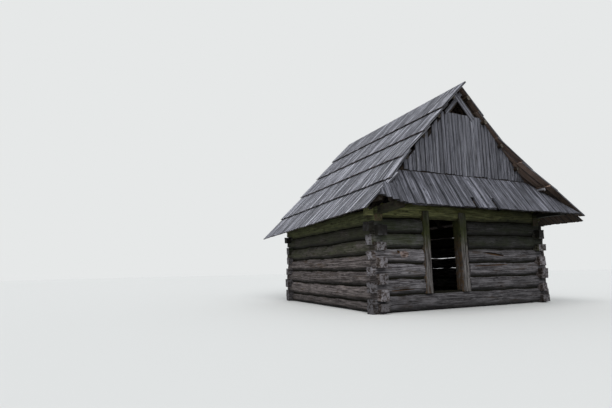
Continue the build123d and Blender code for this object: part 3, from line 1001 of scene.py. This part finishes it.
for name, (side, ridge_gap, edges_front, verge) in slopes.items():
    chance = random.Random(11 if side < 0 else 12)
    boards = []
    down = Vector((side * math.cos(course_lean), 0, -math.sin(course_lean)))
    out = Vector((side * math.sin(course_lean), 0, math.cos(course_lean)))
    across = Vector((0, side, 0))
    for course in range(len(edges_back)):
        start = first_course_start + course * course_pitch
        origin = Vector((side * start * run, 0, lath_apex - start * rise))
        upper = ridge_gap if course == 0 else 0
        verge_upper, verge_lower = verge[course]
        front_length = edges_front[course] - start - upper
        flare = -(verge_lower - verge_upper) / front_length
        front_middle = wall_face - (verge_upper + verge_lower) / 2
        back_end = wall_back + back_verge
        slope_length = back_end - front_middle
        # The lower layer of boards ends a little short of the upper one
        for lift, depth, short in ((0, 0.017, 0.03), (board_thickness, board_thickness, 0)):
            places = shares(slope_length, roof_board_width, width_spread, chance)
            for first, last in zip(places, places[1:]):
                share = (first + last) / 2
                fade = (1 - share) ** verge_fan
                y = front_middle + share * slope_length
                width = (last - first) * slope_length
                edge = edges_front[course] + share * (edges_back[course] - edges_front[course])
                length = edge - start - upper - short + chance.uniform(-sawn_spread, sawn_spread)
                # The right eave hangs lower than the skirt roof, but for its outermost boards
                if side > 0 and course == len(edges_back) - 1 and first == 0:
                    length -= outermost_short
                along = down + Vector((0, flare * fade, 0))
                at = (
                    origin
                    + down * upper
                    + out * (lift + chance.uniform(0, 0.002))
                    + Vector((0, y - flare * fade * length / 2, 0))
                )
                board = lay_board(
                    boards, at, along, across, out, length, width - board_gap, chance, depth
                )
                spread = chance.uniform(-tone_spread, tone_spread)
                set_tone(board.data, course_tones[course] + spread)
    roof_boards = join_pieces(boards, f"{name.title()}_Roof_Boards", silver_board)
    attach(roof_boards, "root")
    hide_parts(f"{name}_roof_boards")

# Gable boards
# Upright split boards nailed to the outer rafters and the tie beam, sawn off square under the
# slope, so their tops step up it. Above them two raking boards leave a three-cornered smoke hole.
gable_board = aged_wood(
    "silver-grey split spruce, gable boards",
    ("#7c7d86", "#34353b", "#3b3937", "#33281e"),
    board_strand,
    streak="#8d8e97",
    crack=0.1,
    # painted shade along the joints between the gable boards
    edge=0.55,
    tones=(0.78, 1.16),
)
gable_board_depth = 0.025
gable_board_width, gable_spread = 0.1, 0.25
gable_gaps = (0.004, 0.007, 0.012)
gable_lean = 0.006  # out of plumb, for each metre
# The tops were left ragged at the left, and follow the slope closely at the right
left_tops, right_tops = (0.02, 0.22), (0, 0.02)
ragged_feet = (0.004, 0.03)
uneven = 0.006
slope_clearance = 0.02
smoke_hole_sill = rafter_apex - 0.481
shortest_board = 0.05
rake_drop = 0.49  # how far down the raking boards reach
rake_lap = 0.02  # how far they run on past the apex
rake_gap = 0.004  # how much further out they stand than the upright boards
upright = Vector((0, 0, -1))


def cut_to_slope(apex, side):
    """Cuts the selected faces off along the plane of a slope, and closes the cut."""
    bpy.ops.mesh.bisect(
        plane_co=(0, 0, apex), plane_no=(side * rise, 0, run), use_fill=True, clear_outer=True
    )


for name, foot, facing in (
    ("front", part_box("front_gable_boards")[0][2], -1),
    ("back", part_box("back_gable_boards")[0][2], 1),
):
    chance = random.Random(21 if facing < 0 else 22)
    node_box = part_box(f"{name}_gable_boards")
    face = node_box[0][1] if facing < 0 else node_box[1][1]
    inner = face - facing * gable_board_depth
    half_foot = (lath_apex - foot) / steep - slope_clearance
    boards = []
    out = Vector((0, facing, 0))
    across = out.cross(upright)
    places = shares(2 * half_foot, gable_board_width, gable_spread, chance)
    for first, last in zip(places, places[1:]):
        left_x = -half_foot + first * 2 * half_foot
        right_x = -half_foot + last * 2 * half_foot
        inner_x = min(abs(left_x), abs(right_x)) if left_x * right_x > 0 else 0
        side = -1 if left_x + right_x < 0 else 1
        slope_top = lath_apex - chance.uniform(*(left_tops if side < 0 else right_tops))
        top = min(slope_top - inner_x * steep, smoke_hole_sill - chance.uniform(0, uneven))
        drop = chance.uniform(*ragged_feet)
        if top - foot > shortest_board:
            # The back boards stand close, so that no light shows between them
            lean, gap = 0, 0
            if facing < 0:
                lean, gap = chance.uniform(-gable_lean, gable_lean), chance.choice(gable_gaps)
            depth = gable_board_depth - chance.uniform(0, uneven)
            at = Vector(((left_x + right_x) / 2, inner, top))
            along = upright + Vector((lean, 0, 0))
            length, width = top - foot - drop, right_x - left_x - gap
            board = lay_board(boards, at, along, across, out, length, width, chance, depth)
            bpy.ops.object.select_all(action="DESELECT")
            bpy.context.view_layer.objects.active = board
            bpy.ops.object.mode_set(mode="EDIT")
            bpy.ops.mesh.select_all(action="SELECT")
            cut_to_slope(slope_top, side)
            bpy.ops.object.mode_set(mode="OBJECT")
    # The right raking board lies further in, and laps a little over the left one at the apex
    for side, width, inset, proud in ((-1, 0.085, 0, 0), (1, 0.14, 0.05, 0.003)):
        down = Vector((side * run, 0, -rise))
        outward = Vector((side * rise, 0, run))
        apex = Vector((0, inner + facing * rake_gap, rafter_apex))
        at = apex - outward * (inset + width / 2) - down * (inset + rake_lap)
        length, depth = rake_drop / rise + inset, gable_board_depth + proud
        lay_board(boards, at, down, out.cross(down), out, length, width, chance, depth)
    gable = join_pieces(boards, f"{name.title()}_Gable_Boards", gable_board)
    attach(gable, "root")
    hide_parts(f"{name}_gable_boards")

# Skirt roof boards
# Broad split boards on the ledger and the eave pole, nailed at a slant. At the left they run on
# past the slope beside them, stepping shorter; two boards have lost their lower ends.
skirt_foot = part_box("front_gable_boards")[0][2]
skirt_depth = 0.04
gable_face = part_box("front_gable_boards")[0][1]
head_lap = 0.0253  # how far the boards' heads run in under the gable boards
skirt_top_y = gable_face + head_lap
skirt_top_z = skirt_foot + head_lap * steep - skirt_depth / run
skirt_reach = 0.8
skirt_lean = 0.27  # sideways, for each metre down the slope
skirt_layer = 0.019
skirt_layer_gap = 0.002
joint_shift = 0.1  # between the joints of the two layers
skirt_board_gap = 0.005
shrunk_gap, shrunk_shift = 0.022, 0.008  # where a board has shrunk back on its right
lower_short = 0.01  # how much shorter the lower layer is
lost_length, torn_spread = 0.3, 0.02
left_end_from = -2.1  # left of this the boards run on past the slope
left_end_short = 0.16  # how much shorter they are there
left_end_steps = 0.4  # and how much more so for each metre further left
skirt_length = (skirt_top_y - wall_face + skirt_reach) / run - skirt_depth * steep
skirt_down = Vector((0, -run, -rise))
skirt_out = Vector((0, -rise, run))
skirt_board = aged_wood(
    "silver-grey split spruce, skirt boards",
    ("#6a6b74", "#2f3036", "#36363a", "#33281e"),
    board_strand,
    streak="#83848e",
    crack=0.15,
    # painted shade along the joints between the skirt boards
    edge=0.55,
    tones=(0.82, 1.1),
)
chance = random.Random(31)
boards = []
# Where the upper layer's joints meet the eave, between the boards
joints_at_eave = [-2.62, -2.45, -2.33, -2.2, -2.05, -1.89, -1.66, -1.42, -1.16, -0.98, -0.81]
joints_at_eave += [-0.66, -0.525, -0.44, -0.22, 0.01, 0.095, 0.3, 0.48, 0.66, 0.85, 1.03]
joints_at_eave += [1.29, 1.5, 1.68, 1.87, 2.05, 2.25, 2.45, 2.65, 2.85]
shrunk_at = (-1.89, -1.66, -1.16, -0.81, 1.03, 1.29)
lost_ends = (-0.4825, 0.0525)  # the middles of the boards
beside = 0.2  # this near to a lost end the two layers' joints fall together
for first, last in zip(joints_at_eave, joints_at_eave[1:]):
    middle = (first + last) / 2
    lost = any(abs(middle - place) < near for place in lost_ends)
    beside_lost = any(abs(middle - place) < beside for place in lost_ends)
    for lift in (0, skirt_layer + skirt_layer_gap):
        shift = 0 if lift or beside_lost else joint_shift
        length = skirt_length + chance.uniform(-sawn_spread, sawn_spread)
        if not lift:
            length -= lower_short
        if lost:
            length = skirt_length - lost_length + chance.uniform(-torn_spread, torn_spread)
        if middle < left_end_from:
            length = skirt_length - left_end_short + (middle - joints_at_eave[1]) * left_end_steps
        gap = skirt_board_gap
        top_x = middle + shift + skirt_lean * skirt_length
        if last in shrunk_at and lift:
            gap = shrunk_gap
            top_x -= shrunk_shift
        at = Vector((top_x, skirt_top_y, skirt_top_z)) + skirt_out * lift
        along = skirt_down + Vector((-skirt_lean, 0, 0))
        across = Vector((1, 0, 0))
        width = last - first - gap
        lay_board(boards, at, along, across, skirt_out, length, width, chance, skirt_layer)
skirt = join_pieces(boards, "Skirt_Boards", skirt_board)
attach(skirt, "root")
# Beside the slope the boards end under its boards. In front of its verge the left ones run on past
# its plane.
verge_front = wall_face - 0.4
overrun = 0.2
bpy.ops.object.mode_set(mode="EDIT")
bpy.ops.mesh.select_all(action="SELECT")
bpy.ops.mesh.bisect(plane_co=(0, verge_front, 0), plane_no=(0, 1, 0))
for apex, side, wanted in (
    (lath_apex, 1, lambda face: True),
    (lath_apex, -1, lambda face: face.calc_center_median().y > verge_front),
    (lath_apex + overrun, -1, lambda face: face.calc_center_median().y < verge_front),
):
    pick("FACE", wanted)
    cut_to_slope(apex, side)
bpy.ops.object.mode_set(mode="OBJECT")
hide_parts("skirt_boards")

# Lath stub on the right hip
# The lowest lath of the right slope runs on past the verge and lies bare on the skirt roof, where
# rain has bleached it paler than the boards.
bleached_pole = aged_wood(
    "bleached spruce pole",
    ("#b4b4b8", "#6d6d72", "#57555a", "#4a3727"),
    (0.3, 0.013),
    grain_y,
    ends=("Y", "#a9a9ad"),
)
stub_radius, stub_length = 0.032, 0.4
stub_place = (1.899, wall_face - 0.25, 2.4035)
bpy.ops.object.select_all(action="DESELECT")
bpy.ops.mesh.primitive_cylinder_add(vertices=20, radius=stub_radius, depth=stub_length)
stub = bpy.context.object
stub.name = "Lath_stub"
bpy.ops.object.mode_set(mode="EDIT")
bpy.ops.transform.rotate(value=math.pi / 2, orient_axis="X", center_override=(0, 0, 0))
bpy.ops.transform.translate(value=stub_place)
bpy.ops.object.mode_set(mode="OBJECT")
bpy.ops.object.shade_smooth_by_angle(angle=smooth_angle)
set_tone(stub.data, 0.5)
stub.data.materials.append(bleached_pole)
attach(stub, "root")
